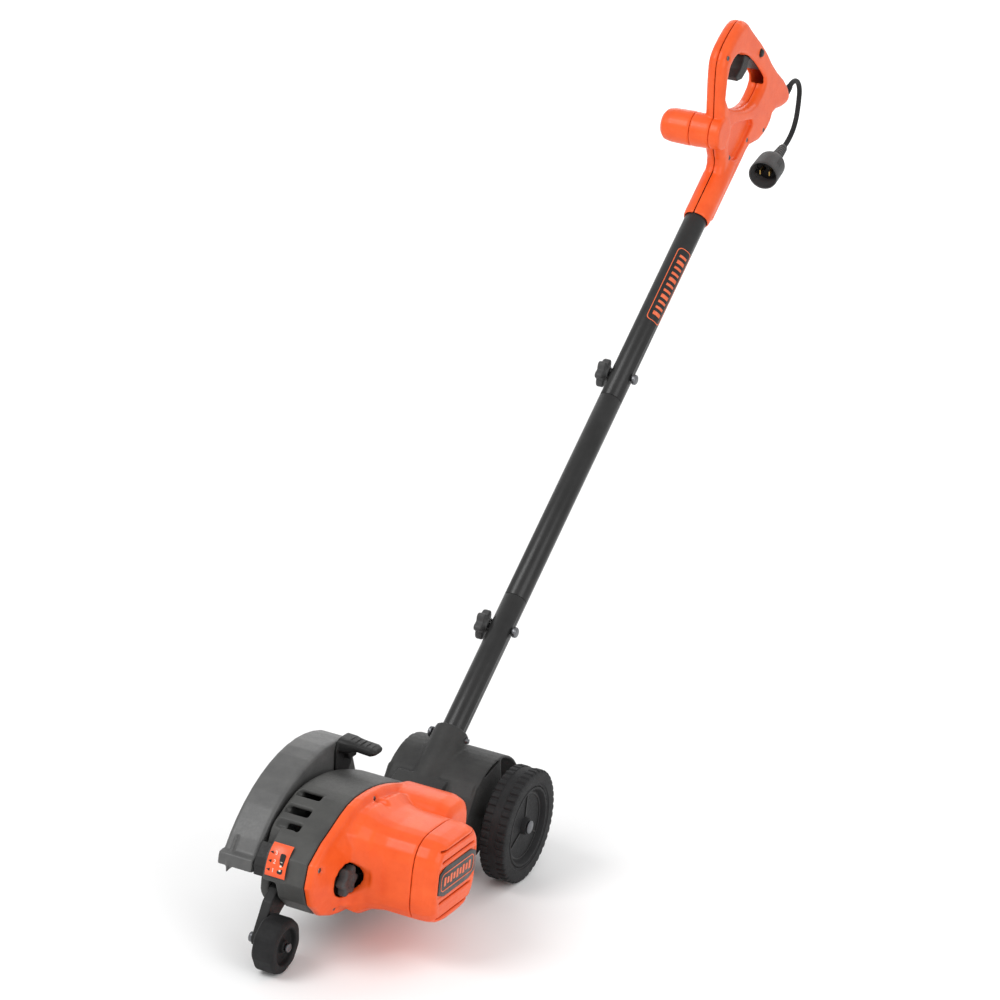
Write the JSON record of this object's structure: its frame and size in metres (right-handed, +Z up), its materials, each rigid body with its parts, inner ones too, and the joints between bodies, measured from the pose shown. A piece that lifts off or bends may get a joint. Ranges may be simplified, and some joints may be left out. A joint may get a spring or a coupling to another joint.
{
  "type": "lawn edger",
  "caption": "Corded electric lawn edger: bar blade under a curved guard, orange motor, three wheels, slanted three-piece shaft and loop handle with trigger.",
  "frame": {"origin": "middle of the footprint, on the ground, without the cord and its plug", "axes": "+X to the motor side, -Y the way it travels, +Z up"},
  "size_m": [0.2316, 1.3116, 0.9028],
  "materials": {
    "orange": "satin moulded orange",
    "charcoal": "fine moulded grain",
    "guard_grey": "satin moulded grey",
    "black": "satin black",
    "paint": "gloss black powder coat",
    "rubber": "soft black",
    "tyre": "moulded tread",
    "steel": "bright",
    "dark_steel": "oiled",
    "copper": "enamelled wire",
    "brass": "bright",
    "aluminium": "cast"
  },
  "bodies": {
    "machine": {"gear_housing": "charcoal", "gear_plate": "aluminium", "motor_housing": "orange", "end_cap": "orange", "nameplate": "black", "depth_label": "orange", "stator_core": "dark_steel", "field_windings": "copper", "brush_left": "black", "brush_right": "black", "rear_bearing_bracket": "black", "motor_front_bearing": "steel", "motor_rear_bearing": "steel", "spindle_outer_bearing": "steel", "spindle_inner_bearing": "steel", "blade_guard": "guard_grey", "flap_pin": "steel", "arm_pin": "steel", "rear_axle": "steel", "rear_hood": "charcoal", "socket_bolt": "dark_steel", "lower_tube": "paint", "middle_tube": "paint", "upper_tube": "paint", "lower_tube_bolt": "dark_steel", "upper_tube_bolt": "dark_steel", "internal_lead": "black", "handle_left": "orange", "handle_right": "orange", "front_grip_cap": "orange", "switch_body": "black", "strain_relief": "rubber", "power_cord": "rubber", "plug_body": "rubber", "plug_pins": "brass"},
    "blade_drive": {"edger_blade": "dark_steel", "blade_spindle": "steel", "driven_gear": "steel", "inner_flange": "dark_steel", "outer_flange": "dark_steel", "blade_nut": "steel"},
    "rotor": {"armature_shaft": "steel", "pinion": "steel", "armature_core": "dark_steel", "commutator": "copper", "fan": "black"},
    "flap": {"debris_flap": "rubber"},
    "lever": {"depth_lever": "black"},
    "front_arm": {"front_wheel_arm": "black", "front_axle": "steel"},
    "front_wheel": {"front_wheel": "tyre"},
    "right_rear_wheel": {"right_rear_tyre": "tyre", "right_rear_hub": "black"},
    "left_rear_wheel": {"left_rear_tyre": "tyre", "left_rear_hub": "black"},
    "guide_knob": {"guide_knob": "black"},
    "lower_knob": {"lower_tube_knob": "black"},
    "upper_knob": {"upper_tube_knob": "black"},
    "trigger": {"trigger": "black"},
    "lock_button": {"lock_button": "black"}
  },
  "joints": [
    {"name": "blade_spin", "type": "hinge", "parent": "machine", "child": "blade_drive", "pos_m": [-0.0898, -0.4299, 0.078], "axis": [1, 0, 0], "continuous": true},
    {"name": "motor_spin", "type": "hinge", "parent": "machine", "child": "rotor", "pos_m": [0.0292, -0.4514, 0.104], "axis": [1, 0, 0], "continuous": true},
    {"name": "flap_swing", "type": "hinge", "parent": "machine", "child": "flap", "pos_m": [-0.0898, -0.3359, 0.03], "axis": [1, 0, 0], "range_deg": [-5, 60]},
    {"name": "depth_set", "type": "hinge", "parent": "machine", "child": "lever", "pos_m": [-0.0673, -0.4299, 0.078], "axis": [-1, 0, 0], "range_deg": [0, 8.4]},
    {"name": "front_arm_lift", "type": "hinge", "parent": "machine", "child": "front_arm", "pos_m": [-0.0208, -0.5244, 0.08], "axis": [-1, 0, 0], "range_deg": [0, 11]},
    {"name": "front_wheel_roll", "type": "hinge", "parent": "front_arm", "child": "front_wheel", "pos_m": [-0.0246, -0.5876, 0.031], "axis": [1, 0, 0], "continuous": true},
    {"name": "right_wheel_roll", "type": "hinge", "parent": "machine", "child": "right_rear_wheel", "pos_m": [0.0761, -0.2134, 0.0669], "axis": [1, 0, 0], "continuous": true},
    {"name": "left_wheel_roll", "type": "hinge", "parent": "machine", "child": "left_rear_wheel", "pos_m": [-0.0549, -0.2134, 0.0669], "axis": [1, 0, 0], "continuous": true},
    {"name": "guide_knob_turn", "type": "hinge", "parent": "machine", "child": "guide_knob", "pos_m": [0.0117, -0.5224, 0.0935], "axis": [1, 0, 0], "continuous": true},
    {"name": "lower_knob_turn", "type": "hinge", "parent": "machine", "child": "lower_knob", "pos_m": [-0.0361, -0.0956, 0.24605], "axis": [-1, 0, 0], "continuous": true},
    {"name": "upper_knob_turn", "type": "hinge", "parent": "machine", "child": "upper_knob", "pos_m": [-0.0361, 0.18376, 0.49321], "axis": [-1, 0, 0], "continuous": true},
    {"name": "trigger_pull", "type": "slide", "parent": "machine", "child": "trigger", "axis": [0, 0.4699, 0.8827], "range_m": [0, 0.0045], "stiffness_N_per_m": 400, "springref_m": -0.002},
    {"name": "lock_press", "type": "slide", "parent": "machine", "child": "lock_button", "axis": [-1, 0, 0], "range_m": [0, 0.0022], "stiffness_N_per_m": 300, "springref_m": -0.001}
  ],
  "couplings": [
    {"joint": "motor_spin", "follows": "blade_spin", "ratio": -3.5},
    {"joint": "front_arm_lift", "follows": "depth_set", "ratio": 1.3}
  ]
}
